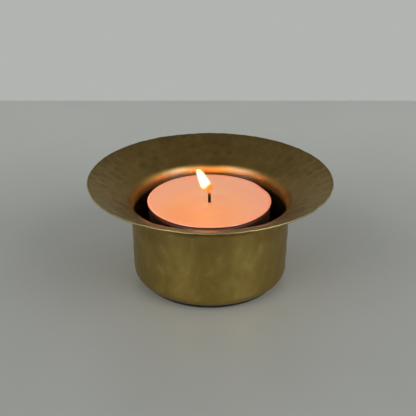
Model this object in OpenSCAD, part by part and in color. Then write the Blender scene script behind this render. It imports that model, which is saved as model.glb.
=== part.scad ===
// Flared brass tealight holder with a lit tealight standing in it.
// Millimetres. +Z is up, and the origin is the centre of the face that stands on the table.
// Every piece is turned about the vertical axis, apart from the wick's curled tip.

/* [Bowl] */
// Diameter over the flared brim
brim_d = 75; // [72:0.5:90]
// Height of the brim's edge above the table
rim_h = 33.6; // [32.5:0.1:38]
// Slope of the brim at its edge, in degrees above the horizontal
brim_slope = 21; // [18:1:28]
// Radius of the flare that steepens the brim towards the shoulder, to the middle of the sheet
flare_r = 60; // [45:5:300]
// Diameter of the cup where its wall meets the heel
cup_d = 48.2; // [46:0.2:50]
// Outward lean of the cup's wall, in degrees
wall_lean = 0.9; // [0:0.1:2]
// Outside radius of the rounded heel between wall and base
heel_r = 3.3; // [2:0.1:4]
// Radius under the turned-out shoulder
shoulder_r = 3.5; // [1.5:0.1:4]
// Thickness of the brass sheet
sheet = 0.55; // [0.5:0.05:1]

/* [Base pad] */
// Diameter of the felt pad
pad_d = 42.8; // [36:0.2:43]
// Thickness of the felt pad
pad_t = 0.9; // [0.5:0.05:1.5]
// Thickness of the adhesive film that holds the pad
adhesive_t = 0.15; // [0.1:0.05:0.3]
// How far the adhesive film stops short of the bowl's heel
adhesive_inset = 0.4; // [0.2:0.1:2]

/* [Tealight cup] */
// Diameter over the tealight's rolled rim
can_rim_d = 38.4; // [37:0.1:39]
// Height of the tealight cup
can_h = 24.4; // [22:0.1:25]
// Diameter over the foot of the tealight cup
can_base_d = 37; // [35:0.1:37.4]
// Thickness of the drawn aluminium
foil = 0.15; // [0.1:0.05:0.2]
// Outside radius of the rolled rim
curl_r = 0.25; // [0.25:0.05:0.5]
// Outside radius of the cup's bottom corner
can_corner_r = 1.2; // [0.8:0.1:2]
// Radius of the pressed ring that keeps the wick disc near the middle
ring_r = 9.8; // [9.4:0.1:11]
// Height of the pressed ring
ring_h = 0.5; // [0.3:0.1:0.8]

/* [Wax] */
// Depth of the wax surface below the top of the rolled rim
wax_drop = 0.2; // [0.2:0.1:6]
// Gap between the wax and the cup, as the block shrinks when it sets
wax_gap = 0.12; // [0.1:0.01:0.2]
// Distance that the wick has drifted off centre in the molten wax
wick_drift = 2; // [0:0.1:2]

/* [Wick and sustainer] */
// Diameter of the braided wick
wick_d = 1; // [0.8:0.1:1.4]
// Length of straight wick that stands out of the wax
wick_straight = 2.6; // [1:0.1:6]
// Radius of the wick's curled tip, to its centre line
wick_curl_r = 2.5; // [1.5:0.1:4]
// Angle that the curled tip turns through, in degrees
wick_curl = 40; // [10:5:80]
// Diameter of the sustainer's steel disc
disc_d = 12.8; // [11:0.1:13]
// Thickness of the sustainer's steel
disc_t = 0.25; // [0.2:0.05:0.3]
// Height of the sustainer's crimped neck above the cup's floor
neck_h = 4.5; // [3:0.1:8]
// Wall thickness of the crimped neck
neck_wall = 0.3; // [0.2:0.05:0.5]

/* [Hidden] */
$fn = 180;
arc_steps = 10;       // straight steps along each rounded stretch of a section
slip = 0.02;          // room between the wick and the neck that grips it
pocket_gap = 0.1;     // room between the wax and each metal piece that it stands on or around
ring_crest_w = 0.8;   // width across the flat top of the pressed ring
curl_end = -100;      // angle at which the rolled rim's free edge stops, under its centre
cut = 1;              // overshoot of every cutting solid

bowl_z = pad_t + adhesive_t;
floor_z = bowl_z + sheet;
can_floor_z = floor_z + foil;
can_top_z = floor_z + can_h;
wax_top_z = can_top_z - wax_drop;
bore_r = wick_d / 2 + slip;
neck_r = bore_r + neck_wall;

// Inside radii of the tealight cup's tapered wall, at its foot and under its rolled rim
can_in_base_r = can_base_d / 2 - foil;
can_in_top_r = can_rim_d / 2 - 2 * curl_r;
can_taper = atan((can_in_top_r - can_in_base_r) / (can_h - curl_r));

// Points along an arc in the r-z plane, from angle a0 to angle a1. An arc that carries on from another
// one leaves out its first point, which is the other's last.
function arc(c, r, a0, a1, first = 0) =
    [for (i = [first:arc_steps]) let (a = a0 + (a1 - a0) * i / arc_steps) c + r * [cos(a), sin(a)]];

// Inside radius of the tealight cup's wall at a height above the table
function can_inside_r(z) = can_in_base_r + (z - floor_z) * tan(can_taper);

// The four corners of the pressed ring's section, grown by g all round, from the axis outwards
function ring_outline(z, g) =
    let (crest = ring_crest_w / 2 + g * tan(22.5), foot = crest + ring_h)
    [[ring_r - foot, z], [ring_r - crest, z + ring_h], [ring_r + crest, z + ring_h], [ring_r + foot, z]];

// Centres of the bowl's heel, of its half-round edge, and of the flare that runs in from that edge
heel_c = [cup_d / 2 - heel_r, bowl_z + heel_r];
edge_c = [brim_d / 2 - sheet / 2, rim_h - sheet / 2];
flare_c = edge_c + flare_r * [sin(brim_slope), -cos(brim_slope)];

// The shoulder touches the wall and the flare, where the brim has its steepest slope
wall_out = [cos(wall_lean), -sin(wall_lean)];
brim_under_r = flare_r - sheet / 2;
shoulder_reach = brim_under_r - shoulder_r;
flare_to_shoulder = (flare_c - heel_c) * wall_out - heel_r - shoulder_r;
join_slope = asin(flare_to_shoulder / shoulder_reach) - wall_lean;
shoulder_c = flare_c + shoulder_reach * [-sin(join_slope), cos(join_slope)];

// Brass bowl: flat base, rounded heel, leaning wall, turned-out shoulder and flared brim
module holder_bowl()
{
    color("#6b5c2c") rotate_extrude() polygon(concat(
        [[0, bowl_z]],
        arc(heel_c, heel_r, -90, -wall_lean),
        arc(shoulder_c, shoulder_r, 180 - wall_lean, 90 + join_slope),
        arc(flare_c, brim_under_r, 90 + join_slope, 90 + brim_slope, 1),
        arc(edge_c, sheet / 2, brim_slope - 90, brim_slope + 90, 1),
        arc(flare_c, brim_under_r + sheet, 90 + brim_slope, 90 + join_slope, 1),
        arc(shoulder_c, shoulder_r + sheet, 90 + join_slope, 180 - wall_lean, 1),
        arc(heel_c, heel_r - sheet, -wall_lean, -90),
        [[0, floor_z]]
    ));
}

// Double-sided adhesive film between the bowl and its pad
module pad_adhesive()
{
    color("#c9c2a8") translate([0, 0, pad_t]) cylinder(h = adhesive_t, r = cup_d / 2 - heel_r - adhesive_inset);
}

// Black felt pad that the holder stands on
module base_pad()
{
    color("#141414") cylinder(h = pad_t, d = pad_d);
}

// Tealight cup: drawn aluminium with a pressed ring in its floor and an outward rolled rim
module tealight_cup()
{
    corner_c = [can_base_d / 2 - can_corner_r, floor_z + can_corner_r];
    curl_c = [can_rim_d / 2 - curl_r, can_top_z - curl_r];
    color("#a8a39c") rotate_extrude() polygon(concat(
        [[0, floor_z]],
        ring_outline(floor_z, 0),
        arc(corner_c, can_corner_r, -90, -can_taper),
        arc(curl_c, curl_r - foil, 180, curl_end),
        arc(curl_c, curl_r, curl_end, 180),
        arc(corner_c, can_corner_r - foil, -can_taper, -90),
        [for (i = [3:-1:0]) ring_outline(can_floor_z, foil)[i]],
        [[0, can_floor_z]]
    ));
}

// Block of wax, with room for the sustainer, the wick and the cup's pressed ring
module wax()
{
    foot_r = can_inside_r(can_floor_z + can_corner_r) - wax_gap;
    ring = ring_outline(can_floor_z, foil + pocket_gap);
    color("#f0a070") difference()
    {
        rotate_extrude() polygon(concat(
            [[0, can_floor_z]],
            arc([foot_r - can_corner_r, can_floor_z + can_corner_r], can_corner_r, -90, 0),
            [[can_inside_r(wax_top_z) - wax_gap, wax_top_z], [0, wax_top_z]]
        ));
        rotate_extrude() polygon(concat(
            [[ring[0].x, can_floor_z - cut]],
            [for (corner = ring) corner + [0, pocket_gap]],
            [[ring[3].x, can_floor_z - cut]]
        ));
        translate([0, -wick_drift, can_floor_z])
        {
            translate([0, 0, -cut]) cylinder(h = disc_t + pocket_gap + cut, d = disc_d + 2 * pocket_gap);
            translate([0, 0, -cut]) cylinder(h = neck_h + pocket_gap + cut, r = neck_r + pocket_gap);
            cylinder(h = can_h, r = bore_r);
        }
    }
}

// Braided wick: straight through the sustainer and the wax, with its tip curled over to one side
module wick()
{
    straight_top_z = wax_top_z + wick_straight;
    color("#241a16") translate([0, -wick_drift, 0])
    {
        translate([0, 0, can_floor_z]) cylinder(h = straight_top_z - can_floor_z, d = wick_d);
        translate([-wick_curl_r, 0, straight_top_z]) rotate([90, 0, 0])
            rotate_extrude(angle = wick_curl) translate([wick_curl_r, 0]) circle(d = wick_d);
    }
}

// Steel sustainer: a disc on the cup's floor with a crimped neck round the wick
module wick_sustainer()
{
    color("#b4b6b8") translate([0, -wick_drift, can_floor_z]) rotate_extrude() polygon([
        [bore_r, 0],
        [disc_d / 2, 0],
        [disc_d / 2, disc_t],
        [neck_r, disc_t],
        [neck_r, neck_h],
        [bore_r, neck_h]
    ]);
}

holder_bowl();
pad_adhesive();
base_pad();
tealight_cup();
wax();
wick();
wick_sustainer();
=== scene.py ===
"""Looks for a hammered brass tealight holder with a lit tealight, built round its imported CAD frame.

Sizes in this file are millimetres along the frame's own axes. add_mesh() and metres() turn them into
the metres that Blender works in.
"""

import math

import bmesh
import bpy
import numpy as np
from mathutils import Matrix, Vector, kdtree


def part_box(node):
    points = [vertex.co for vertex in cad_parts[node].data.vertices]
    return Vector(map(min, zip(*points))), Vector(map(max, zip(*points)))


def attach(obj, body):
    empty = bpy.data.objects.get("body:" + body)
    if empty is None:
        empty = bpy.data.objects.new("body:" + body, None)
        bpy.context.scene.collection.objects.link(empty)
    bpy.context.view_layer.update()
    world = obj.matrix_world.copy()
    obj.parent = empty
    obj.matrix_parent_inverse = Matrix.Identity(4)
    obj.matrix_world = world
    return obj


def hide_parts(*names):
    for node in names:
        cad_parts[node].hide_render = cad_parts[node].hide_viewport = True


MM = 0.001
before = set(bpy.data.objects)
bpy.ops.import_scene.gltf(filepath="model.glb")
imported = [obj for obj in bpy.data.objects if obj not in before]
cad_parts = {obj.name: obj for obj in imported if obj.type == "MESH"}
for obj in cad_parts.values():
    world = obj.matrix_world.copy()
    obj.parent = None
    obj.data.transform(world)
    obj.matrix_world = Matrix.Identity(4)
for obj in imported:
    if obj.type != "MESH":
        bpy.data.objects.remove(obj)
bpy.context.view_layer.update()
dice = np.random.default_rng(7)


# ---------------------------------------------------------------------------------------------
# Sizes: the frame gives each piece's box, and the rest repeat the CAD model's own dimensions
# ---------------------------------------------------------------------------------------------


def node_box(name):
    """Lowest and highest corner of a CAD node, in millimetres."""
    low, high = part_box(name)
    return low / MM, high / MM


bowl_low, bowl_high = node_box("holder_bowl")
pad_high = node_box("base_pad")[1]
can_low, can_high = node_box("tealight_cup")
wax_low, wax_high = node_box("wax")
wick_low, wick_high = node_box("wick")
disc_low, disc_high = node_box("wick_sustainer")

# The bowl, with its angles in degrees
BRIM_R = bowl_high.x
RIM_Z = bowl_high.z
BOWL_Z = bowl_low.z
FLOOR_Z = can_low.z
SHEET = FLOOR_Z - BOWL_Z
CUP_R = 24.1
HEEL_R = 3.3
SHOULDER_R = 3.5
FLARE_R = 60.0
WALL_LEAN = 0.9
BRIM_SLOPE = 21.0

# The tealight's cup: its rim, foot, rolled edge, bottom corner and pressed ring
CAN_R = can_high.x
CAN_TOP = can_high.z
CAN_BASE_R = 18.5
CAN_FLOOR_Z = wax_low.z
FOIL = CAN_FLOOR_Z - FLOOR_Z
CURL_R = 0.25
CAN_CORNER_R = 1.2
RING_R = 9.8
RING_H = 0.5
RING_CREST = 0.4

# The wax, and its gaps to the cup and to the metal in its pockets
WAX_TOP = wax_high.z
WAX_R = wax_high.x
WAX_GAP = 0.12
POCKET_GAP = 0.1

# The wick: it stands off centre, leans aside in the wax and curls over at its tip
WICK_Y = (wick_low.y + wick_high.y) / 2
WICK_LEAN = -0.22
WICK_STRAIGHT_TOP = WAX_TOP + 2.6
WICK_CURL_R = 2.5
WICK_CURL = math.radians(40)

# The sustainer: its disc, neck and bore
DISC_R = disc_high.x
DISC_T = 0.25
NECK_H = disc_high.z - disc_low.z
NECK_R = 0.82
BORE_R = 0.52


# ---------------------------------------------------------------------------------------------
# Mesh making
# ---------------------------------------------------------------------------------------------


def metres(*sizes):
    """Sizes in millimetres as metres."""
    return tuple(size * MM for size in sizes)


def add_mesh(name, body, points, faces, material, sharp_angle=40):
    """A smooth-shaded piece from points in millimetres, which rides on a CAD body."""
    mesh = bpy.data.meshes.new(name)
    mesh.from_pydata((np.asarray(points) * MM).tolist(), [], faces)
    shape = bmesh.new()
    shape.from_mesh(mesh)
    bmesh.ops.recalc_face_normals(shape, faces=shape.faces)
    shape.to_mesh(mesh)
    shape.free()
    mesh.shade_smooth()
    mesh.set_sharp_from_angle(angle=math.radians(sharp_angle))
    mesh.materials.append(material)
    piece = bpy.data.objects.new(name, mesh)
    bpy.context.scene.collection.objects.link(piece)
    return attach(piece, body)


def ring_faces(rings, steps, joined=False, first=0):
    """Quads between neighbouring rings of points, and from the last ring to the first if joined."""
    row, step = np.meshgrid(np.arange(rings if joined else rings - 1), np.arange(steps), indexing="ij")
    after = (step + 1) % steps
    here = row * steps
    above = (row + 1) % rings * steps
    quads = np.stack([here + step, here + after, above + after, above + step], -1)
    return (quads.reshape(-1, 4) + first).tolist()


def turned(name, body, rings, material, poles=False, sharp_angle=40):
    """A piece through rings of points, shaped (ring, step, xyz). Its ends close at poles, or join up."""
    count, steps = rings.shape[:2]
    points = rings.reshape(-1, 3)
    faces = ring_faces(count, steps, joined=not poles)
    if poles:
        bottom, top = len(points), len(points) + 1
        points = np.vstack([points, rings[0].mean(0), rings[-1].mean(0)])
        last = (count - 1) * steps
        for step in range(steps):
            after = (step + 1) % steps
            faces.append([bottom, after, step])
            faces.append([top, last + step, last + after])
    return add_mesh(name, body, points, faces, material, sharp_angle)


def round_angles(steps):
    """Evenly spaced angles once round a circle, in radians."""
    return np.arange(steps) * 2 * math.pi / steps


def turn(section, steps):
    """Rings of points from (radius, height) pairs turned about the upright axis."""
    section = np.asarray(section, float)
    angles = round_angles(steps)
    radius = section[:, :1]
    height = np.repeat(section[:, 1:2], steps, axis=1)
    return np.stack([radius * np.cos(angles), radius * np.sin(angles), height], -1)


def arc(centre, radius, start, end, steps):
    """Points along an arc in the radius-height plane, with angles in degrees."""
    angles = np.radians(np.linspace(start, end, steps + 1))
    return np.column_stack([centre[0] + radius * np.cos(angles), centre[1] + radius * np.sin(angles)])


def directions(start, end, steps):
    """Unit vectors from angle start to angle end, in degrees."""
    return arc((0, 0), 1, start, end, steps)


def fill_in(points, pitch):
    """Adds evenly spaced points wherever two neighbours are further apart than pitch."""
    points = np.asarray(points, float)
    out = [points[:1]]
    for a, b in zip(points, points[1:]):
        pieces = max(1, math.ceil(np.linalg.norm((b - a)[:2]) / pitch))
        out.append(a + (b - a) * (np.arange(1, pieces + 1) / pieces)[:, None])
    return np.vstack(out)


def smooth_step(value, low, high):
    """0 below low, 1 above high, and a smooth curve between them."""
    t = np.clip((value - low) / (high - low), 0, 1)
    return t * t * (3 - 2 * t)


def bulge(value, middle, width):
    """1 at the middle, falling off smoothly on both sides."""
    return np.exp(-(((value - middle) / width) ** 2))


def ripple(angles, orders, size):
    """A gentle closed wave round a circle, made of a few seeded sine waves."""
    wave = np.zeros_like(angles)
    for order in orders:
        wave += np.sin(order * angles + dice.uniform(0, 2 * math.pi)) * dice.uniform(0.5, 1)
    return wave * size / len(orders)


def smooth_curve(t, values):
    """A smooth curve through evenly spaced rows of values (Catmull-Rom), one array for each column."""
    padded = np.vstack([2 * values[0] - values[1], values, 2 * values[-1] - values[-2]])
    place = np.clip(t * (len(values) - 1), 0, len(values) - 1 - 1e-9)
    i = place.astype(int)
    u = (place - i)[:, None]
    a, b, c, d = padded[i], padded[i + 1], padded[i + 2], padded[i + 3]
    curve = 2 * b + (c - a) * u + (2 * a - 5 * b + 4 * c - d) * u**2 + (3 * b - a - 3 * c + d) * u**3
    return (curve / 2).T


# ---------------------------------------------------------------------------------------------
# Material making
# ---------------------------------------------------------------------------------------------


class Nodes:
    """Short calls that add nodes to a node tree."""

    def __init__(self, tree):
        self.tree = tree

    def put(self, node, inputs):
        """Fills a node's inputs with values or links. Underscores in a name stand for spaces."""
        for key, value in inputs.items():
            socket = node.inputs[key.replace("_", " ") if isinstance(key, str) else key]
            if isinstance(value, bpy.types.NodeSocket):
                self.tree.links.new(value, socket)
            else:
                socket.default_value = value

    def add(self, kind, inputs=None, **settings):
        """A new node with its settings and inputs."""
        node = self.tree.nodes.new("ShaderNode" + kind)
        for key, value in settings.items():
            setattr(node, key, value)
        self.put(node, inputs or {})
        return node

    def math(self, operation, a, b=0.0):
        """Arithmetic on two values."""
        return self.add("Math", {0: a, 1: b}, operation=operation).outputs[0]

    def span(self, value, low, high, to_low=0.0, to_high=1.0, smooth=False):
        """Maps low..high to to_low..to_high, and holds the ends."""
        inputs = {"Value": value, "From_Min": low, "From_Max": high, "To_Min": to_low, "To_Max": to_high}
        kind = "SMOOTHSTEP" if smooth else "LINEAR"
        return self.add("MapRange", inputs, interpolation_type=kind).outputs["Result"]

    def mix(self, factor, a, b, mode="MIX"):
        """Mixes two colours."""
        a, b = [(*c, 1) if isinstance(c, tuple) and len(c) == 3 else c for c in (a, b)]
        node = self.add("Mix", {0: factor, 6: a, 7: b}, data_type="RGBA", blend_type=mode)
        return node.outputs[2]

    def ramp(self, value, stops):
        """A colour for each value, from (position, colour) stops in rising order."""
        node = self.add("ValToRGB", {"Fac": value})
        elements = node.color_ramp.elements
        elements[0].position, elements[1].position = stops[0][0], stops[-1][0]
        for position, _ in stops[1:-1]:
            elements.new(position)
        for element, (_, colour) in zip(elements, stops):
            element.color = (*colour, 1)
        return node.outputs["Color"]

    def axes(self, place):
        """The x, y and z of a place."""
        return self.add("SeparateXYZ", {0: place}).outputs

    def distance(self, place, point=(0, 0, 0)):
        """How far a place is from a point, which is the origin unless another is given."""
        return self.add("VectorMath", {0: place, 1: point}, operation="DISTANCE").outputs["Value"]


class Paint(Nodes):
    """One procedural material: a Principled shader, and nodes laid out in the piece's own coordinates."""

    def __init__(self, name, **sockets):
        self.material = bpy.data.materials.new(name)
        self.material.use_nodes = True
        super().__init__(self.material.node_tree)
        self.shader = self.tree.nodes["Principled BSDF"]
        self.set(**sockets)
        self.place = self.add("TexCoord").outputs["Object"]

    def set(self, **sockets):
        """Fills the Principled shader's own inputs."""
        self.put(self.shader, sockets)

    def across(self):
        """The place with its height left out."""
        xyz = self.axes(self.place)
        return self.add("CombineXYZ", {0: xyz[0], 1: xyz[1]}).outputs[0]

    def stretched(self, height):
        """The place with its heights scaled, so that marks laid out in it stand taller."""
        return self.add("Mapping", {0: self.place, "Scale": (1, 1, height)}).outputs[0]

    def noise(self, size_mm, detail=3.0, rough=0.55, place=None):
        """Soft noise, 0 to 1, whose blobs are about size_mm across."""
        inputs = {"Vector": place or self.place, "Scale": 1 / (size_mm * MM)}
        inputs.update(Detail=detail, Roughness=rough)
        return self.add("TexNoise", inputs).outputs["Fac"]

    def bump(self, height, depth_mm, before=None):
        """Surface relief: height 0 to 1 stands for depth_mm. It may follow on from an earlier bump."""
        inputs = {"Height": height, "Distance": depth_mm * MM, "Strength": 1.0}
        if before:
            inputs["Normal"] = before
        return self.add("Bump", inputs).outputs["Normal"]

    def streaks(self, width_mm, along_mm):
        """Noise drawn out round the axis: about width_mm across and along_mm long at the brim's edge."""
        across = self.across()
        heading = self.add("VectorMath", {0: across}, operation="NORMALIZE").outputs[0]
        ring = self.add("VectorMath", {0: heading, "Scale": BRIM_R / along_mm}, operation="SCALE").outputs[0]
        level = self.math("ADD", self.distance(across), self.axes(self.place)[2])
        level = self.math("MULTIPLY", level, 1 / (width_mm * MM))
        lift = self.add("CombineXYZ", {2: level}).outputs[0]
        place = self.add("VectorMath", {0: ring, 1: lift}, operation="ADD").outputs[0]
        return self.add("TexNoise", {"Vector": place, "Scale": 1.0, "Detail": 2.0}).outputs["Fac"]


# Colours of the brass: two that the patina runs between, one for each mark on it, and painted highlight
# tints, which run from the holder's middle outwards to both sides: the flame's orange reflection painted in
# the middle, the softboxes' pale glints painted to the sides, and orange again further out
PATINA = ((0.33, 0.222, 0.05), (0.405, 0.276, 0.067))
WORN_BRASS = (0.60, 0.45, 0.14)
FLECKED_BRASS = (0.33, 0.24, 0.06)
SOOT = (0.75, 0.70, 0.74)
HOLLOW_BRASS = (0.20, 0.12, 0.025)
# Painted shade, for deep inside the bowl, along the brim's edge and on the brim's near side
PAINTED_SHADE_BRASS = (0.14, 0.09, 0.03)
# The rubbed lip's colour: lighter from wear, and partly a painted highlight along the edge
RUBBED_AND_HIGHLIGHT_BRASS = (0.62, 0.52, 0.24)
PAINTED_GLINT_REACH = 20
PAINTED_GLINT_TINTS = [
    (0.2, (0.64, 0.36, 0.08)),
    (0.45, (0.49, 0.52, 0.42)),
    (0.6, (0.52, 0.56, 0.48)),
    (0.8, (0.86, 0.36, 0.09)),
]


def brass_paint():
    """Antique brass: spun rings, patchy patina, darker hollows, soot towards the shoulder, painted shade deep
    inside and on the brim's near side and edge, a rubbed lip that is partly a painted highlight, and a
    rougher shoulder with painted highlight tints. mark_bowl() stores where most of these are."""
    paint = Paint("antique_brass", Metallic=1.0, Anisotropic=0.3, Coat_Weight=0.25, Coat_Roughness=0.35)
    paint.set(Specular_Tint=(0.87, 0.82, 0.76, 1.0))
    hollow, edge, painted_shade, smoked, satin_and_painted_glint = [
        paint.add("Attribute", attribute_name=name).outputs["Fac"]
        for name in ("hollow", "edge", "painted_shade", "smoked", "satin_and_painted_glint")
    ]
    patches = paint.noise(9, detail=4, rough=0.6)
    worn = paint.noise(3.2, place=paint.stretched(0.75))
    flecks = paint.noise(1.4)
    spun = paint.streaks(0.22, 14)
    aside = paint.math("ABSOLUTE", paint.axes(paint.place)[0])
    painted_glints = paint.ramp(paint.span(aside, 0.0, PAINTED_GLINT_REACH * MM), PAINTED_GLINT_TINTS)

    tone = paint.mix(paint.span(patches, 0.35, 0.65), *PATINA)
    tone = paint.mix(paint.span(worn, 0.5, 0.8, 0.0, 0.5), tone, WORN_BRASS)
    tone = paint.mix(paint.span(flecks, 0.35, 0.75, 0.0, 0.35), tone, FLECKED_BRASS)
    tone = paint.mix(smoked, tone, SOOT, "MULTIPLY")
    # Painted highlights on the rougher shoulder: the flame's orange reflection in the middle, the softboxes'
    # pale glints to the sides
    tone = paint.mix(paint.math("MULTIPLY", satin_and_painted_glint, 0.55), tone, painted_glints)
    tone = paint.mix(paint.span(hollow, 0.2, 0.8, 0.0, 0.6), tone, HOLLOW_BRASS)
    # Painted shade deep inside the bowl, along the brim's edge and on its near side
    tone = paint.mix(paint.math("MULTIPLY", painted_shade, 0.8), tone, PAINTED_SHADE_BRASS)
    # The rubbed lip is lighter: wear, and partly a painted highlight
    tone = paint.mix(paint.math("MULTIPLY", edge, 0.4), tone, RUBBED_AND_HIGHLIGHT_BRASS)

    rough = paint.span(patches, 0.3, 0.7, 0.31, 0.39)
    rough = paint.math("ADD", rough, paint.span(spun, 0.3, 0.7, -0.03, 0.05))
    rough = paint.math("ADD", rough, paint.math("MULTIPLY", satin_and_painted_glint, 0.26))
    normal = paint.bump(spun, 0.012)
    normal = paint.bump(flecks, 0.02, before=normal)
    tangent = paint.add("Tangent", direction_type="RADIAL", axis="Z").outputs[0]
    paint.set(Base_Color=tone, Roughness=rough, Normal=normal, Tangent=tangent)
    return paint.material


def felt_paint():
    """Black felt: matted fibres and a soft sheen."""
    paint = Paint("black_felt", Roughness=0.95, Sheen_Weight=0.25, Sheen_Roughness=0.6)
    matted = paint.noise(0.5, detail=6, rough=0.7)
    tone = paint.ramp(matted, [(0.3, (0.004, 0.004, 0.004)), (0.75, (0.02, 0.02, 0.021))])
    paint.set(Base_Color=tone, Normal=paint.bump(matted, 0.15))
    return paint.material


def adhesive_paint():
    """A cloudy, slightly yellow film of glue."""
    paint = Paint("adhesive_film", Roughness=0.4)
    cloudy = paint.noise(3, detail=4)
    paint.set(Base_Color=paint.ramp(cloudy, [(0.3, (0.42, 0.36, 0.22)), (0.7, (0.6, 0.54, 0.38))]))
    paint.set(Normal=paint.bump(cloudy, 0.03))
    return paint.material


# A painted warm reflection of the lit brass on the cup's wall, coming in more and more between two heights
PAINTED_REFLECTION_ALUMINIUM = (0.80, 0.52, 0.42)
PAINTED_REFLECTION_Z = (CAN_TOP - 7, CAN_TOP - 1.5)


def aluminium_paint():
    """Thin drawn aluminium: drawing lines up the wall, a few dull smears, and a painted warm reflection on
    top.
    """
    paint = Paint("drawn_aluminium", Metallic=1.0)
    lines = paint.noise(0.35, place=paint.stretched(0.06))
    smears = paint.noise(5)
    painted_reflection = paint.span(paint.axes(paint.place)[2], *metres(*PAINTED_REFLECTION_Z), smooth=True)
    tone = paint.ramp(smears, [(0.35, (0.74, 0.72, 0.69)), (0.65, (0.82, 0.81, 0.79))])
    # Painted warm reflection towards the top of the wall and on the rolled rim
    paint.set(Base_Color=paint.mix(painted_reflection, tone, PAINTED_REFLECTION_ALUMINIUM))
    paint.set(Roughness=paint.span(smears, 0.3, 0.7, 0.32, 0.37), Normal=paint.bump(lines, 0.01))
    return paint.material


WAX_TONES = [(0.3, (0.89, 0.43, 0.27)), (0.7, (0.91, 0.46, 0.30))]

# The wax's painted glow, which stands in for its flame's light inside it, changes away from a centre on the
# near side, and where the wax is thin or deep
GLOW_CENTRE = (-3, -9, WAX_TOP)
GLOW_REACH = 22
GLOW = [
    (0.0, (0.49, 0.12, 0.0)),
    (0.32, (0.462, 0.115, 0.002)),
    (0.56, (0.458, 0.149, 0.039)),
    (0.8, (0.428, 0.15, 0.07)),
    (1.0, (0.376, 0.147, 0.077)),
]
THIN_GLOW = (0.50, 0.25, 0.135)
THIN_FROM_R = (WAX_R + 0.15, WAX_R + 0.5)
DEEP_GLOW = (0.08, 0.02, 0.008)
DEEP_FROM_Z = (WAX_TOP - 3, WAX_TOP - 16)

# The molten wax gives way to set wax between two distances from the wick, which wander by this much
MOLTEN_REACH = (3.5, 8.5)
MOLTEN_WANDER = 1.6


def wax_paint():
    """Peach wax with a painted glow for its flame's light: molten and glossy round the wick, and dull
    elsewhere.
    """
    paint = Paint("peach_wax", Roughness=0.6, IOR=1.44, Specular_IOR_Level=0.25, Coat_Roughness=0.12)
    paint.set(Subsurface_Weight=1.0, Subsurface_Scale=1.0, Subsurface_Radius=metres(6, 2.8, 1.6))
    cloudy = paint.noise(6, detail=4)
    from_glow = paint.distance(paint.place, metres(*GLOW_CENTRE))
    glow = paint.ramp(paint.math("MULTIPLY", from_glow, 1 / (GLOW_REACH * MM)), GLOW)
    thin = paint.span(paint.distance(paint.across()), *metres(*THIN_FROM_R), smooth=True)
    glow = paint.mix(thin, glow, THIN_GLOW)
    deep = paint.span(paint.axes(paint.place)[2], *metres(*DEEP_FROM_Z), 0.0, 0.85, smooth=True)
    glow = paint.mix(deep, glow, DEEP_GLOW)
    # Painted light: the emission stands in for the flame's light glowing through the wax
    paint.set(Base_Color=paint.ramp(cloudy, WAX_TONES), Emission_Color=glow, Emission_Strength=1.0)

    from_wick = paint.distance(paint.place, metres(0, WICK_Y, WAX_TOP))
    wander = paint.span(cloudy, 0.3, 0.7, *metres(-MOLTEN_WANDER, MOLTEN_WANDER))
    from_wick = paint.math("ADD", from_wick, wander)
    molten = paint.span(from_wick, *metres(*MOLTEN_REACH), 1.0, 0.0, smooth=True)
    wavy = paint.noise(1.3, detail=1)
    paint.set(Coat_Weight=molten, Coat_Normal=paint.bump(wavy, 0.12), Normal=paint.bump(cloudy, 0.01))
    return paint.material


# Colours up the wick, and the light of its tip
CHARRED_Z = (WAX_TOP - 0.2, wick_high.z)
CHARRED = [
    (0.0, (0.62, 0.40, 0.27)),
    (0.09, (0.05, 0.022, 0.014)),
    (0.5, (0.012, 0.008, 0.007)),
    (1.0, (0.03, 0.012, 0.006)),
]
EMBER_Z = (wick_high.z - 2.4, wick_high.z)
EMBER = [
    (0.0, (0.0, 0.0, 0.0)),
    (0.25, (0.06, 0.02, 0.01)),
    (0.45, (0.24, 0.065, 0.012)),
    (0.65, (0.9, 0.24, 0.015)),
    (1.0, (1.0, 0.34, 0.035)),
]


def wick_paint():
    """Braided cotton: waxy at the foot, charred above the wax, and glowing at its tip."""
    paint = Paint("charred_wick", Roughness=0.85, Specular_IOR_Level=0.1)
    fibres = paint.noise(0.12, detail=4, rough=0.7)
    uneven = paint.span(fibres, 0.3, 0.7, *metres(-0.15, 0.15))
    level = paint.math("ADD", paint.axes(paint.place)[2], uneven)
    tone = paint.ramp(paint.span(level, *metres(*CHARRED_Z)), CHARRED)
    ember = paint.ramp(paint.span(level, *metres(*EMBER_Z)), EMBER)
    paint.set(Base_Color=tone, Emission_Color=ember, Emission_Strength=1.2, Normal=paint.bump(fibres, 0.06))
    return paint.material


def steel_paint():
    """Tin-plated steel, with a faint grain."""
    paint = Paint("tinned_steel", Metallic=1.0)
    grain = paint.noise(0.8, detail=5, rough=0.65)
    paint.set(Base_Color=paint.ramp(grain, [(0.3, (0.46, 0.46, 0.45)), (0.7, (0.66, 0.66, 0.65))]))
    paint.set(Roughness=paint.span(grain, 0.3, 0.7, 0.25, 0.45), Normal=paint.bump(grain, 0.01))
    return paint.material


# ---------------------------------------------------------------------------------------------
# The bowl
# ---------------------------------------------------------------------------------------------

BOWL_STEPS = 408
BOWL_POLE_R = 0.8
BASE_PITCH = 2.5
BEND_STEPS = 12
SECTION_PITCH = 0.42
LIP_BENDS = (-60, -30, 0, 30, 60)

# Hammer blows: how far apart they fall, how deep they go, and how dark their hollows are
WALL_BLOWS = (4.2, 0.11, 0.2)
BRIM_BLOWS = (3.5, 0.09, 1.0)

# Where they start, and where the wall's end: where it stands this much further out than at WALL_TO_Z
WALL_FROM_Z = BOWL_Z + 1.2
WALL_TO_Z = 24
WALL_TURNED_OUT = 0.6
BRIM_FROM_R = 26.2
FADE_IN = 1.5
FADE_OUT = 2.0

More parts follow.
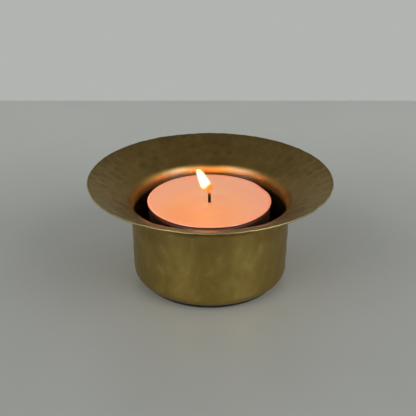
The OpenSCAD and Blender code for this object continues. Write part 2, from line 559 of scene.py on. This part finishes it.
# How blows differ, as parts of their spacing and depth, and the shape of each
UNSTEADY_ROUND = 0.32
UNSTEADY_ALONG = 0.25
WEAKEST_BLOW = 0.45
BLOW_REACH = 0.56
BLOW_UPRIGHT = 0.8
BLOWS_FELT = 4
RIDGE_SHARPNESS = 5
LEVEL_MARK = 0.55
HOLLOW_STEEPNESS = 1.6

# The brim's near side, as an angle and a spread in degrees, and the ring of it that stands proud
NEAR_SIDE = (270, 38)
NEAR_LIFT = 0.42
LIFT_FROM_R = (28, 32)
LIFT_TO_R = (32.5, BRIM_R - 0.3)

# Heights and radii between which the brass changes, from the first sign to the full change
SMOKED_FROM_Z = (18, 23)
# The rougher shoulder's band, which also carries the painted highlight tints
SATIN_AND_GLINT_FROM_Z = (22.0, 23.5)
SATIN_AND_GLINT_TO_Z = (24.8, 27.0)
# Painted shade comes in below these heights inside the bowl, and beyond these radii on the brim's near side
PAINTED_SHADE_TO_Z = (15, 22.5)
NEAR_PAINTED_SHADE_FROM_R = (25.5, 27.5)


def bowl_midline():
    """The sheet's middle from the axis to the brim's edge: rows of radius, height and facing (r, z)."""
    lean, slope = math.radians(WALL_LEAN), math.radians(BRIM_SLOPE)
    wall_out = np.array([math.cos(lean), -math.sin(lean)])
    heel = np.array([CUP_R - HEEL_R, BOWL_Z + HEEL_R])
    edge = np.array([BRIM_R - SHEET / 2, RIM_Z - SHEET / 2])
    flare = edge + FLARE_R * np.array([math.sin(slope), -math.cos(slope)])
    reach = FLARE_R - SHEET / 2 - SHOULDER_R
    join = math.asin(((flare - heel) @ wall_out - HEEL_R - SHOULDER_R) / reach) - lean
    shoulder = flare + reach * np.array([-math.sin(join), math.cos(join)])
    join = math.degrees(join)
    base_z = BOWL_Z + SHEET / 2
    base = fill_in([[BOWL_POLE_R, base_z, 0, 1], [heel[0], base_z, 0, 1]], BASE_PITCH)
    bends = (
        (heel, HEEL_R - SHEET / 2, -90, -WALL_LEAN, -1),
        (shoulder, SHOULDER_R + SHEET / 2, 180 - WALL_LEAN, 90 + join, 1),
        (flare, FLARE_R, 90 + join, 90 + BRIM_SLOPE, 1),
    )
    upper = [
        np.hstack([arc(centre, radius, a, b, BEND_STEPS), side * directions(a, b, BEND_STEPS)])
        for centre, radius, a, b, side in bends
    ]
    upper[2] = upper[2][1:]
    return np.vstack([base[:-1], fill_in(np.vstack(upper), SECTION_PITCH)])


def blows(radius, height, length, first, last, pitch):
    """Where the hammer fell: rows along the section, each with evenly spaced but unsteady blows."""
    places = []
    for row in np.arange(first, last, pitch):
        count = round(2 * math.pi * np.interp(row, length, radius) / pitch)
        turns = np.arange(count) + dice.uniform(0, 1) + dice.uniform(-UNSTEADY_ROUND, UNSTEADY_ROUND, count)
        angles = turns * 2 * math.pi / count
        along = row + dice.uniform(-UNSTEADY_ALONG, UNSTEADY_ALONG, count) * pitch
        r = np.interp(along, length, radius)
        z = np.interp(along, length, height)
        places.append(np.column_stack([r * np.cos(angles), r * np.sin(angles), z]))
    return np.vstack(places)


def dented(surface, places, pitch):
    """0 in the middle of each blow and about 1 on the soft ridges between blows."""
    weakness = dice.uniform(0.0, WEAKEST_BLOW, len(places))
    squash = np.array([1, 1, BLOW_UPRIGHT])
    tree = kdtree.KDTree(len(places))
    for index, place in enumerate(places * squash):
        tree.insert(place, index)
    tree.balance()
    out = np.empty(len(surface))
    for i, point in enumerate(surface * squash):
        felt = tree.find_n(point, BLOWS_FELT)
        near = [(distance / (pitch * BLOW_REACH)) ** 2 + weakness[blow] for _, blow, distance in felt]
        lowest = min(near)
        total = sum(math.exp((lowest - q) * RIDGE_SHARPNESS) for q in near)
        out[i] = lowest - math.log(total) / RIDGE_SHARPNESS
    return out


def hammered(radius, height, length, surface):
    """The relief that the blows leave on wall and brim, and how far each point lies in a hollow."""
    wall_start = length[np.argmax(height > WALL_FROM_Z)]
    wall_end = length[np.argmax(radius > np.interp(WALL_TO_Z, height, radius) + WALL_TURNED_OUT)]
    brim_start = length[np.argmax(radius > BRIM_FROM_R)]
    relief = np.zeros(surface.shape[:2])
    hollow = np.zeros(surface.shape[:2])
    for (pitch, depth, dark), start, end in (
        (WALL_BLOWS, wall_start, wall_end),
        (BRIM_BLOWS, brim_start, length[-1]),
    ):
        rows = (length >= start) & (length <= end)
        places = blows(radius, height, length, start, end, pitch)
        marks = dented(surface[rows].reshape(-1, 3), places, pitch).reshape(-1, BOWL_STEPS)
        fade = smooth_step(length[rows], start, start + FADE_IN)[:, None]
        if end < length[-1]:
            fade = fade * (1 - smooth_step(length[rows], end - FADE_OUT, end))[:, None]
        relief[rows] = (marks - LEVEL_MARK) * depth * fade
        hollow[rows] = np.clip(1.0 - marks * HOLLOW_STEEPNESS, 0, 1) * fade * dark
    return relief, hollow


def rounded_lip(under, top, angles):
    """Rings that close the brim's edge with a half round between its two faces."""
    slope = math.radians(BRIM_SLOPE)
    outward = np.stack([np.cos(angles), np.sin(angles), np.zeros_like(angles)], -1)
    outward = outward * math.cos(slope) + [0, 0, math.sin(slope)]
    middle = (under + top) / 2
    half = (top - under) / 2
    bends = np.radians(LIP_BENDS)
    return np.array([middle + outward * SHEET / 2 * math.cos(a) + half * math.sin(a) for a in bends])


def make_bowl(material):
    """The hammered sheet: base, heel, wall, shoulder and brim, dented through its whole thickness."""
    middle = bowl_midline()
    radius, height, facing = middle[:, 0], middle[:, 1], middle[:, 2:]
    length = np.concatenate([[0], np.cumsum(np.hypot(np.diff(radius), np.diff(height)))])
    angles = round_angles(BOWL_STEPS)
    surface = turn(middle[:, :2], BOWL_STEPS)
    relief, hollow = hammered(radius, height, length, surface)
    out_of_round = ripple(angles, (2, 3, 5, 9), 0.10) * smooth_step(height, BOWL_Z + 2, RIM_Z)[:, None]
    out_of_round += ripple(angles, (11, 17, 26), 0.05) * smooth_step(height, 4, 8)[:, None]
    near = bulge(np.degrees(angles), *NEAR_SIDE)
    proud = NEAR_LIFT * smooth_step(radius, *LIFT_FROM_R) * (1 - smooth_step(radius, *LIFT_TO_R))
    near_edge = smooth_step(length, length[-1] - 4, length[-1])
    edge_wave = ripple(angles, (7, 11, 16, 23), 0.07) * near_edge[:, None]

    def face(offset):
        """One face of the sheet, at an offset from its middle."""
        shift = relief + edge_wave + offset
        spread = facing[:, :1] * shift + out_of_round
        rings = surface.copy()
        rings[..., 0] += spread * np.cos(angles)
        rings[..., 1] += spread * np.sin(angles)
        rings[..., 2] += facing[:, 1:] * shift + proud[:, None] * near
        return rings

    under, top = face(-SHEET / 2), face(SHEET / 2)
    rings = np.concatenate([under, rounded_lip(under[-1], top[-1], angles), top[::-1]])
    bowl = turned("bowl_brass", "holder", rings, material, poles=True, sharp_angle=60)
    mark_bowl(bowl, radius, height, length, near, hollow)
    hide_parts("holder_bowl")


def mark_bowl(bowl, radius, height, length, near, hollow):
    """Stores where the brass is hollow, rubbed and painted with a highlight, painted with shade, smoked, and
    rougher with painted highlight tints, mostly on its upper face.
    """
    clean = np.zeros_like(hollow)
    smoked = clean + smooth_step(height, *SMOKED_FROM_Z)[:, None]
    # The rougher shoulder, which also takes the painted highlight tints
    satin_and_painted_glint = clean + (smooth_step(height, *SATIN_AND_GLINT_FROM_Z) * (1 - smooth_step(height, *SATIN_AND_GLINT_TO_Z)))[:, None]
    outline = smooth_step(length, length[-1] - 0.5, length[-1])
    # Painted shade deep inside the bowl and along the brim's edge, then on the brim's near side
    painted_shade = clean + np.maximum(1 - smooth_step(height, *PAINTED_SHADE_TO_Z), outline)[:, None]
    painted_shade = np.maximum(painted_shade, smooth_step(radius, *NEAR_PAINTED_SHADE_FROM_R)[:, None] * near)
    store(bowl, "hollow", hollow, 0, hollow)
    store(bowl, "edge", clean, 1, clean)
    store(bowl, "painted_shade", clean, 0, painted_shade)
    store(bowl, "smoked", smoked * 0.5, 0, smoked)
    store(bowl, "satin_and_painted_glint", clean, 0, satin_and_painted_glint)


def store(bowl, name, under, lip, top):
    """Keeps values for the material to read: one for each point of the two faces, and one for all the lip."""
    lip_rings = np.full((len(LIP_BENDS), BOWL_STEPS), lip)
    values = np.concatenate([under, lip_rings, top[::-1]]).ravel()
    flat = np.full(len(bowl.data.vertices), values[-1], np.float32)
    flat[: values.size] = values
    bowl.data.attributes.new(name, "FLOAT", "POINT").data.foreach_set("value", flat)


# ---------------------------------------------------------------------------------------------
# The pad and its glue
# ---------------------------------------------------------------------------------------------

PAD_STEPS = 360
PAD_SOFT = 0.12
PAD_RAGGED = 0.12
POLE_R = 0.5


def make_pad(material):
    """A felt disc, with a cut edge that is a little ragged."""
    radius, thick = pad_high.x, pad_high.z
    cut_edge = [[radius, PAD_SOFT], [radius, thick * 0.4], [radius, thick * 0.7]]
    section = [
        [POLE_R, 0], [radius * 0.5, 0], [radius - PAD_SOFT, 0],
        *cut_edge,
        [radius - PAD_SOFT, thick], [radius * 0.5, thick], [POLE_R, thick],
    ]
    rings = turn(section, PAD_STEPS)
    ragged = rings[3 : 3 + len(cut_edge)]
    ragged[..., :2] *= 1 - dice.uniform(0, PAD_RAGGED, ragged.shape[:2])[..., None] / radius
    pad = turned("felt_pad", "holder", rings, material, poles=True)
    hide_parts("base_pad")


def paint_adhesive(material):
    """The film of glue keeps its CAD mesh."""
    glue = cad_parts["pad_adhesive"]
    glue.data.materials.clear()
    glue.data.materials.append(material)


# ---------------------------------------------------------------------------------------------
# The tealight
# ---------------------------------------------------------------------------------------------

CAN_STEPS = 300
CAN_LEAN = 2

# How the thin cup is out of shape: pushed sideways, wavy, drawn in, and dented at one place on its rim,
# which is an angle and a spread in degrees
CAN_SIDEWAYS = -0.25
CAN_WAVE = 0.07
CAN_DRAWN_IN = 0.07
DENT = (27, 10)
DENT_DEPTH = 0.34

# Heights and radii over which the cup begins to give way
GIVES_Z = (FLOOR_Z + 1, CAN_TOP)
GIVES_R = (12, 18)

# Drops below the rim, and how far a stacking bead pushes the wall out there
STACKING_BEAD = ((2.6, 0.0), (2.2, 0.05), (1.8, 0.13), (1.5, 0.16), (1.2, 0.13), (0.9, 0.05), (0.65, 0.0))

can_angles = round_angles(CAN_STEPS)
can_shape = bulge(np.degrees(can_angles), *DENT) * -DENT_DEPTH + CAN_SIDEWAYS * np.cos(can_angles)
can_shape += ripple(can_angles, (3, 4, 6), CAN_WAVE)
can_shape -= CAN_DRAWN_IN


def can_inside_r(z):
    """Inside radius of the tealight cup's tapered wall at a height."""
    low, high = CAN_BASE_R - FOIL, CAN_R - 2 * CURL_R
    return low + (z - FLOOR_Z) * (high - low) / (CAN_TOP - FLOOR_Z - CURL_R)


def press_ring(z, grow):
    """The pressed ring's section, from the axis outwards."""
    crest = RING_CREST + grow * math.tan(math.radians(22.5))
    foot = crest + RING_H
    up = z + RING_H
    return [[RING_R - foot, z], [RING_R - crest, up], [RING_R + crest, up], [RING_R + foot, z]]


def dent_can(rings):
    """Pushes the thin cup slightly out of round, most at its rim."""
    level = smooth_step(rings[..., 2], *GIVES_Z)
    reach = smooth_step(np.hypot(rings[..., 0], rings[..., 1]), *GIVES_R)
    push = can_shape * level * reach
    rings[..., 0] += push * np.cos(can_angles)
    rings[..., 1] += push * np.sin(can_angles)
    return rings


def make_can(material):
    """The tealight's cup: pressed floor, tapered wall and an outward rolled rim."""
    corner = (CAN_BASE_R - CAN_CORNER_R, FLOOR_Z + CAN_CORNER_R)
    curl = (CAN_R - CURL_R, CAN_TOP - CURL_R)
    wall = [(CAN_TOP - drop, push) for drop, push in STACKING_BEAD]
    outside = [[POLE_R, FLOOR_Z], *press_ring(FLOOR_Z, 0)]
    outside += [*arc(corner, CAN_CORNER_R, -90, -CAN_LEAN, 6)]
    outside += [[can_inside_r(z) + FOIL + push, z] for z, push in wall]
    rim = [*arc(curl, CURL_R - FOIL, 180, -100, 10), *arc(curl, CURL_R, -100, 180, 14)]
    inside = [[can_inside_r(z) + push, z] for z, push in wall[::-1]]
    inside += [*arc(corner, CAN_CORNER_R - FOIL, -CAN_LEAN, -90, 6)]
    inside += [*press_ring(CAN_FLOOR_Z, FOIL)[::-1], [POLE_R, CAN_FLOOR_Z]]
    section = fill_in([*outside, *rim, *inside], 2.0)
    can = turned("aluminium_cup", "tealight", dent_can(turn(section, CAN_STEPS)), material, poles=True)
    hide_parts("tealight_cup")


# How far the pool climbs at wick and wall, and sinks everywhere
WICK_CLIMB = 0.3
WALL_CLIMB = 0.16
POOL_DROP = 0.04

# How far the two faces of the crept film stand off the rolled rim
FILM_TOP = 0.05
FILM_UNDER = 0.015

# Radii over which the pool's rings pass from round the wick to round the cup
DRIFT_R = (2.0, 12.0)


def wax_pool(top_r):
    """The wax's top, from the wick to the wall. It climbs a little at both."""
    near_wick = BORE_R + np.array([0.0, 0.08, 0.18, 0.3, 0.45, 0.7, 1.0, 1.5, 2.2])
    near_wall = top_r - np.array([2.5, 1.4, 0.9, 0.6, 0.35, 0.15, 0.0])
    radii = np.concatenate([near_wick, np.arange(4, top_r - 3, 1.5), near_wall])
    at_wick = WICK_CLIMB * np.exp(-(radii - BORE_R) / 0.3)
    at_wall = WALL_CLIMB * np.exp((radii - top_r) / 0.35)
    return np.column_stack([radii, WAX_TOP + (at_wick + at_wall - POOL_DROP)])


def wax_pockets():
    """Sections of the groove over the pressed ring and of the pocket round the sustainer, under the wax."""
    groove = [
        [r, z + POCKET_GAP * (z > CAN_FLOOR_Z)]
        for r, z in press_ring(CAN_FLOOR_Z, FOIL + POCKET_GAP)
    ]
    disc_r, disc_z = DISC_R + POCKET_GAP, CAN_FLOOR_Z + DISC_T + POCKET_GAP
    neck_r, neck_z = NECK_R + POCKET_GAP, CAN_FLOOR_Z + NECK_H + POCKET_GAP
    pocket = [[disc_r, CAN_FLOOR_Z], [disc_r, disc_z], [neck_r, disc_z], [neck_r, neck_z], [BORE_R, neck_z]]
    return groove[::-1], pocket


def make_wax(material):
    """The wax: a pool, a film crept over the rolled rim, a side, pockets underneath and the wick's bore."""
    top_r = can_inside_r(WAX_TOP) - WAX_GAP
    corner_z = CAN_FLOOR_Z + CAN_CORNER_R
    foot_r = can_inside_r(corner_z) - WAX_GAP
    pool = wax_pool(top_r)
    curl = (CAN_R - CURL_R, CAN_TOP - CURL_R)
    film = [*arc(curl, CURL_R + FILM_TOP, 110, 35, 8), *arc(curl, CURL_R + FILM_UNDER, 35, 130, 8)]
    side = np.vstack([film, fill_in([[top_r, WAX_TOP - 0.1], [foot_r, corner_z]], 1.5)])
    foot = arc((foot_r - CAN_CORNER_R, corner_z), CAN_CORNER_R, 0, -90, 6)[1:]
    groove, pocket = wax_pockets()
    bore = fill_in([pocket[-1], [BORE_R, WAX_TOP]], 3.0)[1:]
    section = np.vstack([pool, side, foot, groove, pocket, bore])
    drift = np.concatenate([
        1 - smooth_step(pool[:, 0], *DRIFT_R),
        np.zeros(len(side) + len(foot) + len(groove)),
        np.ones(len(pocket) + len(bore)),
    ])
    rings = dent_can(turn(section, CAN_STEPS))
    rings[..., 0] += wick_lean(rings[..., 2]) * drift[:, None]
    rings[..., 1] += WICK_Y * drift[:, None]
    wax = turned("wax_block", "candle", rings, material)
    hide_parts("wax")


def wick_lean(z):
    """How far the wick stands to one side at a height, once it is clear of the sustainer's neck."""
    return WICK_LEAN * smooth_step(z, disc_high.z, WAX_TOP)


def wick_line(s):
    """The wick's centre, and its sideways direction, at a length s from its foot."""
    straight = WICK_STRAIGHT_TOP - CAN_FLOOR_Z
    turned_by = min(max(0.0, s - straight) / WICK_CURL_R, WICK_CURL)
    z = CAN_FLOOR_Z + min(s, straight) + WICK_CURL_R * math.sin(turned_by)
    x = wick_lean(z) - WICK_CURL_R * (1 - math.cos(turned_by))
    side = np.array([math.cos(turned_by), 0, math.sin(turned_by)])
    return np.array([x, WICK_Y, z]), side


# The braid: its strands swing to the sides and to front and back, and each ends FRAY below the last
STRANDS = 3
STRAND_R = 0.32
STRAND_SIDES = 8
STRAND_STEPS = 150
BRAID_PITCH = 2.4
BRAID_SWING = 0.18
BRAID_DEPTH = 0.14
FRAY = 0.12


def strand(phase, length):
    """One strand of a flat braid, as rings of points. It tapers at its tip."""
    rings = []
    depth = np.array([0, 1, 0])
    angles = round_angles(STRAND_SIDES)
    for s in np.linspace(0, length, STRAND_STEPS):
        centre, side = wick_line(s)
        swing = 2 * math.pi * (s / BRAID_PITCH + phase)
        centre = centre + side * BRAID_SWING * math.sin(swing) + depth * BRAID_DEPTH * math.sin(2 * swing)
        taper = STRAND_R * (1 - 0.35 * smooth_step(s, length - 0.5, length))
        rings.append(centre + taper * (np.outer(np.cos(angles), side) + np.outer(np.sin(angles), depth)))
    return np.array(rings)


def make_wick(material):
    """A braided wick, whose strands end a little apart."""
    length = WICK_STRAIGHT_TOP - CAN_FLOOR_Z + WICK_CURL_R * WICK_CURL
    points, faces = [], []
    for index in range(STRANDS):
        first = sum(len(p) for p in points)
        points.append(strand(index / STRANDS, length - FRAY * index).reshape(-1, 3))
        faces += ring_faces(STRAND_STEPS, STRAND_SIDES, first=first)
        last = first + (STRAND_STEPS - 1) * STRAND_SIDES
        faces.append([first + side for side in range(STRAND_SIDES)][::-1])
        faces.append([last + side for side in range(STRAND_SIDES)])
    wick = add_mesh("wick_braid", "candle", np.vstack(points), faces, material)
    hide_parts("wick")


# The disc's soft edge, and the neck's crimp as a height above the disc's foot and a spread
DISC_STEPS = 96
DISC_SOFT = (0.1, 0.06)
CRIMP = (2.6, 0.7)
CRIMP_DEPTH = 0.16
CRIMP_FROM_Z = 0.6


def make_sustainer(material):
    """The sustainer: a pressed disc with a soft edge and a neck crimped from four sides."""
    soft_r, soft_z = DISC_SOFT
    section = [
        [BORE_R, 0], [DISC_R - soft_r, 0],
        [DISC_R, soft_z], [DISC_R, DISC_T - soft_z], [DISC_R - soft_r, DISC_T],
        [NECK_R + 0.5, DISC_T], [NECK_R + 0.12, DISC_T + 0.12], [NECK_R, DISC_T + 0.5],
        [NECK_R, NECK_H], [BORE_R, NECK_H], [BORE_R, 0.3],
    ]
    rings = turn(fill_in(section, 0.4), DISC_STEPS)
    up = rings[..., 2]
    outer = np.hypot(rings[..., 0], rings[..., 1]) > NECK_R - 0.1
    pinch = np.clip(np.cos(4 * round_angles(DISC_STEPS)), 0, 1)
    crimp = bulge(up, *CRIMP) * pinch * CRIMP_DEPTH * outer * (up > CRIMP_FROM_Z)
    rings[..., :2] *= 1 - crimp[..., None]
    rings += [0, WICK_Y, CAN_FLOOR_Z]
    piece = turned("steel_sustainer", "candle", rings, material)
    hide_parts("wick_sustainer")


# ---------------------------------------------------------------------------------------------
# The flame
# ---------------------------------------------------------------------------------------------

# Its middle from foot to tip, as sideways place, height and half width
FLAME_SHAPE = [
    (-0.15, 28.7, 0.45),
    (-0.35, 29.3, 1.1),
    (-0.7, 30.0, 1.6),
    (-1.05, 30.75, 1.78),
    (-1.27, 31.5, 1.72),
    (-1.77, 32.7, 1.5),
    (-2.35, 34.0, 1.3),
    (-2.9, 35.2, 1.06),
    (-3.48, 36.35, 0.72),
    (-3.75, 36.9, 0.3),
]
FLAME_RINGS = 57
FLAME_SIDES = 40
FLAME_LEAN = math.radians(20)
FLAME_DEPTH = 0.9

# The orange lobe beside the wick, and by how many millimetres of height its light is cooler
LOBE = (0.1, 0, 31.75)
LOBE_REACH = 2.2
LOBE_COOLER = 1.5

# Colours by height, brightness, and where the light fades in from nothing, and to what
CORE_COLOURS = [
    (30.2, (0.20, 0.05, 0.004)),
    (30.5, (0.20, 0.075, 0.009)),
    (30.8, (0.20, 0.115, 0.025)),
    (31.1, (0.21, 0.165, 0.07)),
    (31.45, (0.30, 0.27, 0.20)),
    (32.1, (1.0, 0.85, 0.55)),
    (35.5, (1.0, 0.85, 0.55)),
    (37.0, (0.6, 0.5, 0.3)),
]
CORE_STRENGTH = 5.0
CORE_FADE = (29.9, 31.2, 1.0)
CORE_GROW = -0.22
MANTLE_COLOURS = [
    (29.4, (1.0, 0.36, 0.10)),
    (31.0, (1.0, 0.42, 0.08)),
    (32.5, (1.3, 0.75, 0.25)),
    (37.0, (1.4, 0.9, 0.45)),
]
MANTLE_STRENGTH = 1.0
MANTLE_FADE = (29.4, 32.4, 0.4)
MANTLE_GROW = 0.15

FLAME_LIGHT_COLOUR = (1.0, 0.28, 0.06)
FLAME_LIGHT_PLACE = (-1.4, WICK_Y, 33.0)
POINT_POWER = 0.0022
AREA_POWER = 0.0046


def flame_paint(name, colours, strength, fade):
    """Light only. Its colour and opacity follow the height, and it is cooler in the lobe beside the wick."""
    paint = Paint(name, Roughness=1.0, Specular_IOR_Level=0.0)
    paint.set(Base_Color=(0.0, 0.0, 0.0, 1.0))
    xyz = paint.axes(paint.place)
    height = paint.math("MULTIPLY", xyz[2], 1 / MM)
    flat = paint.add("CombineXYZ", {0: xyz[0], 2: xyz[2]}).outputs[0]
    from_lobe = paint.distance(flat, metres(*LOBE))
    cooler = paint.span(from_lobe, 0.0, LOBE_REACH * MM, LOBE_COOLER, 0.0, smooth=True)
    warmth = paint.math("SUBTRACT", height, cooler)
    low, high = colours[0][0], colours[-1][0]
    stops = [((level - low) / (high - low), colour) for level, colour in colours]
    paint.set(Emission_Color=paint.ramp(paint.span(warmth, low, high), stops), Emission_Strength=strength)
    start, end, opacity = fade
    paint.set(Alpha=paint.span(height, start, end, 0.0, opacity, smooth=True))
    return paint.material


def make_flame(name, grow, colours, strength, fade):
    """A leaning teardrop round the wick's tip, thicker all round by grow, with a material of its own name."""
    x, z, half = smooth_curve(np.linspace(0, 1, FLAME_RINGS), np.array(FLAME_SHAPE))[..., None]
    half = half + grow
    angles = round_angles(FLAME_SIDES)
    rings = np.stack([
        x + half * np.cos(angles),
        WICK_Y + half * FLAME_DEPTH * np.sin(angles),
        z + half * np.cos(angles) * math.tan(FLAME_LEAN),
    ], -1)
    material = flame_paint(name, colours, strength, fade)
    flame = turned(name, "candle", rings, material, poles=True, sharp_angle=180)
    flame.visible_shadow = False


def make_flame_light(kind, power):
    """Light that the flame throws on the metal: a POINT all round, or an AREA to the far shoulder."""
    data = bpy.data.lights.new("flame_light", kind)
    data.color = FLAME_LIGHT_COLOUR
    data.energy = power
    if kind == "AREA":
        data.shape = "ELLIPSE"
        data.size, data.size_y = metres(3.5, 8)
        data.spread = math.radians(105)
    else:
        data.shadow_soft_size = 2.5 * MM
    light = bpy.data.objects.new("flame_light", data)
    light.location = metres(*FLAME_LIGHT_PLACE)
    light.rotation_euler = (math.pi / 2, 0, 0)
    light.visible_diffuse = False
    light.visible_camera = False
    bpy.context.scene.collection.objects.link(light)
    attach(light, "candle")


# ---------------------------------------------------------------------------------------------
# The studio
# ---------------------------------------------------------------------------------------------

# How far the table reaches to the front and sides, and to the back
TABLE_SIDE = 1500
TABLE_BACK = 170

# The room's colours by height, and what is left of them overhead, from the camera's side to the far side
WALLS = [(0.15, (0.445, 0.458, 0.44)), (0.75, (0.21, 0.215, 0.21))]
SHADE = [(0.28, (0.05, 0.05, 0.05)), (0.52, (1.0, 1.0, 1.0))]

# The softboxes, which aim at the middle of the holder
LAMP_ELEVATION = 34
LAMP_DISTANCE = 620
AIM_Z = 20
KEY_SIZE = 420
GLINT_SIZE = 60
GLINT_POWER = 0.5
GLINT_COLOUR = (0.8, 0.92, 1.0)
BACKDROP_POWER = 0.11

CAMERA_X = -0.66
CAMERA_DISTANCE = 280
CAMERA_ELEVATION = math.radians(30.17)
CAMERA_TILT = math.radians(25.93)
CAMERA_LENS = 74.83


def table_paint():
    """A pale grey table top with faint clouding."""
    paint = Paint("pale_table", Roughness=0.35)
    clouds = paint.noise(60)
    paint.set(Base_Color=paint.ramp(clouds, [(0.3, (0.60, 0.61, 0.575)), (0.7, (0.64, 0.65, 0.615))]))
    return paint.material


def make_table():
    """The table: wide to the front and sides, and ending behind the holder."""
    mesh = bpy.data.meshes.new("table")
    left, right, front, back = -TABLE_SIDE, TABLE_SIDE, -TABLE_SIDE, TABLE_BACK
    corners = [(left, front), (right, front), (right, back), (left, back)]
    mesh.from_pydata([metres(x, y, 0) for x, y in corners], [], [[0, 1, 2, 3]])
    mesh.materials.append(table_paint())
    table = bpy.data.objects.new("table", mesh)
    bpy.context.scene.collection.objects.link(table)


def make_room():
    """A grey room: pale walls and a darker ceiling, which is darkest over the camera."""
    world = bpy.data.worlds.new("room")
    world.use_nodes = True
    room = Nodes(world.node_tree)
    xyz = room.axes(room.add("TexCoord").outputs["Generated"])
    walls = room.ramp(room.span(xyz[2], 0.0, 1.0), WALLS)
    shade = room.ramp(room.span(xyz[1], -1.0, 1.0), SHADE)
    overhead = room.span(xyz[2], 0.5, 0.8, 0.0, 0.7)
    colour = room.mix(overhead, walls, shade, "MULTIPLY")
    room.put(room.tree.nodes["Background"], {"Color": colour})
    bpy.context.scene.world = world


def softbox(name, azimuth, size, power, colour=(1.0, 1.0, 1.0)):
    """A square studio light, aimed at the holder. Azimuth 0 is at the camera's side, and 90 is at +X."""
    data = bpy.data.lights.new(name, "AREA")
    data.shape = "SQUARE"
    data.size = size * MM
    data.energy = power
    data.color = colour
    light = bpy.data.objects.new(name, data)
    a, e = math.radians(azimuth), math.radians(LAMP_ELEVATION)
    away = Vector((math.sin(a) * math.cos(e), -math.cos(a) * math.cos(e), math.sin(e)))
    light.location = away * LAMP_DISTANCE * MM + Vector((0, 0, AIM_Z * MM))
    light.rotation_mode = "QUATERNION"
    light.rotation_quaternion = away.to_track_quat("Z", "Y")
    bpy.context.scene.collection.objects.link(light)
    return light


def make_backdrop_light():
    """A narrow-beamed panel above the far end of the table, which the holder stays out of."""
    data = bpy.data.lights.new("backdrop_light", "AREA")
    data.shape = "RECTANGLE"
    data.size, data.size_y = metres(700, 300)
    data.spread = math.radians(24)
    data.energy = BACKDROP_POWER
    light = bpy.data.objects.new("backdrop_light", data)
    light.location = metres(0, 215, 400)
    light.visible_glossy = False
    bpy.context.scene.collection.objects.link(light)


def make_lights():
    """Two large softboxes, a small cool light beside each for its glints, and the backdrop's panel."""
    softbox("key_left", -44, KEY_SIZE, 0.81)
    softbox("key_right", 52, KEY_SIZE, 0.95)
    for name, azimuth in (("glint_left", -37), ("glint_right", 51)):
        glint = softbox(name, azimuth, GLINT_SIZE, GLINT_POWER, GLINT_COLOUR)
        glint.visible_diffuse = False
    make_backdrop_light()


def make_camera():
    """Looks down on the holder from the front, as a phone held at arm's length would."""
    data = bpy.data.cameras.new("camera")
    data.sensor_width = 36
    data.lens = CAMERA_LENS
    data.clip_start = 10 * MM
    camera = bpy.data.objects.new("camera", data)
    back = CAMERA_DISTANCE * math.cos(CAMERA_ELEVATION)
    up = CAMERA_DISTANCE * math.sin(CAMERA_ELEVATION)
    camera.location = metres(CAMERA_X, -back, up)
    camera.rotation_euler = (math.pi / 2 - CAMERA_TILT, 0, 0)
    bpy.context.scene.collection.objects.link(camera)
    bpy.context.scene.camera = camera


make_camera()
make_room()
make_table()
make_lights()

make_bowl(brass_paint())
make_pad(felt_paint())
paint_adhesive(adhesive_paint())
make_can(aluminium_paint())
make_wax(wax_paint())
make_wick(wick_paint())
make_sustainer(steel_paint())
make_flame("flame_core", CORE_GROW, CORE_COLOURS, CORE_STRENGTH, CORE_FADE)
make_flame("flame_mantle", MANTLE_GROW, MANTLE_COLOURS, MANTLE_STRENGTH, MANTLE_FADE)
make_flame_light("POINT", POINT_POWER)
make_flame_light("AREA", AREA_POWER)

bpy.context.scene.view_settings.view_transform = "Standard"
